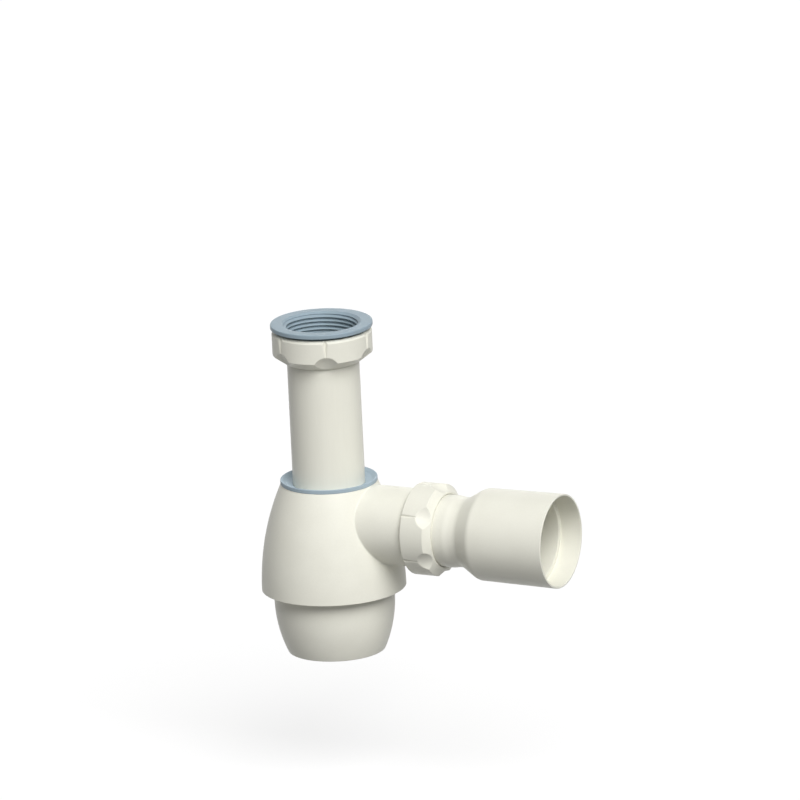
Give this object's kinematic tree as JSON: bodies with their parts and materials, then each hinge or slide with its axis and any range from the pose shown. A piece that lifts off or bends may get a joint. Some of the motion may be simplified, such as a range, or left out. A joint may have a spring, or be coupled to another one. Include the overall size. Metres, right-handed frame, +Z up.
{
  "type": "bottle trap",
  "caption": "Telescopic bottle trap for a basin waste: threaded bush and coupling nut on a sliding inlet tube, domed body with a screw-off cup, side outlet arm with a pipe socket.",
  "frame": {"origin": "centre of the inlet thread's mouth, on the top face of the reducing bush", "axes": "+Z up, along the inlet and out of its mouth; +X along the outlet and out of its socket"},
  "size_m": [0.1819, 0.08, 0.1876],
  "materials": {
    "reducer": "moulded satin",
    "washer": "matt",
    "nut": "moulded satin",
    "tube": "extruded satin",
    "lip_seal": "soft matt",
    "body": "moulded satin",
    "cup": "moulded satin",
    "ring_seal": "matt",
    "slip_ring": "smooth",
    "adapter": "moulded satin"
  },
  "bodies": {
    "reducer": {"thread_reducer": "reducer"},
    "tube": {"inlet_tube": "tube", "inlet_washer": "washer"},
    "inlet_nut": {"inlet_nut": "nut"},
    "tube_seal": {"tube_seal": "lip_seal"},
    "trap_body": {"trap_body": "body"},
    "cup_seal": {"cup_seal": "ring_seal"},
    "bottle_cup": {"bottle_cup": "cup"},
    "outlet_slip_ring": {"outlet_slip_ring": "slip_ring"},
    "outlet_nut": {"outlet_nut": "nut"},
    "outlet_seal": {"outlet_seal": "ring_seal"},
    "outlet_adapter": {"outlet_adapter": "adapter"}
  },
  "joints": [
    {"name": "tube_lowers", "type": "slide", "parent": "reducer", "child": "tube", "axis": [0, 0, -1], "range_m": [0, 0.0088]},
    {"name": "inlet_nut_turn", "type": "hinge", "parent": "tube", "child": "inlet_nut", "pos_m": [0, 0, -0.012], "axis": [0, 0, -1], "range_deg": [0, 1356]},
    {"name": "tube_telescope", "type": "slide", "parent": "tube", "child": "tube_seal", "axis": [0, 0, 1], "range_m": [-0.0345, 0.066]},
    {"name": "body_swivel", "type": "hinge", "parent": "tube_seal", "child": "trap_body", "pos_m": [0, 0, -0.092], "axis": [0, 0, 1], "continuous": true},
    {"name": "cup_lowers", "type": "slide", "parent": "trap_body", "child": "cup_seal", "axis": [0, 0, -1], "range_m": [0, 0.0112]},
    {"name": "cup_turn", "type": "hinge", "parent": "cup_seal", "child": "bottle_cup", "pos_m": [0, 0, -0.145], "axis": [0, 0, -1], "range_deg": [0, 990]},
    {"name": "slip_ring_moves", "type": "slide", "parent": "trap_body", "child": "outlet_slip_ring", "axis": [1, 0, 0], "range_m": [0, 0.0073]},
    {"name": "outlet_nut_turn", "type": "hinge", "parent": "outlet_slip_ring", "child": "outlet_nut", "pos_m": [0.065, 0, -0.1134], "axis": [1, 0, 0], "range_deg": [0, 1116]},
    {"name": "adapter_swivel", "type": "hinge", "parent": "trap_body", "child": "outlet_seal", "pos_m": [0.065, 0, -0.1134], "axis": [1, 0, 0], "continuous": true},
    {"name": "adapter_slide", "type": "slide", "parent": "outlet_seal", "child": "outlet_adapter", "axis": [1, 0, 0], "range_m": [-0.008, 0.024]}
  ],
  "couplings": [
    {"joint": "tube_lowers", "follows": "inlet_nut_turn", "m_per_rad": 0.00036749},
    {"joint": "cup_lowers", "follows": "cup_turn", "m_per_rad": 0.00063662},
    {"joint": "slip_ring_moves", "follows": "outlet_nut_turn", "m_per_rad": 0.00036749}
  ]
}
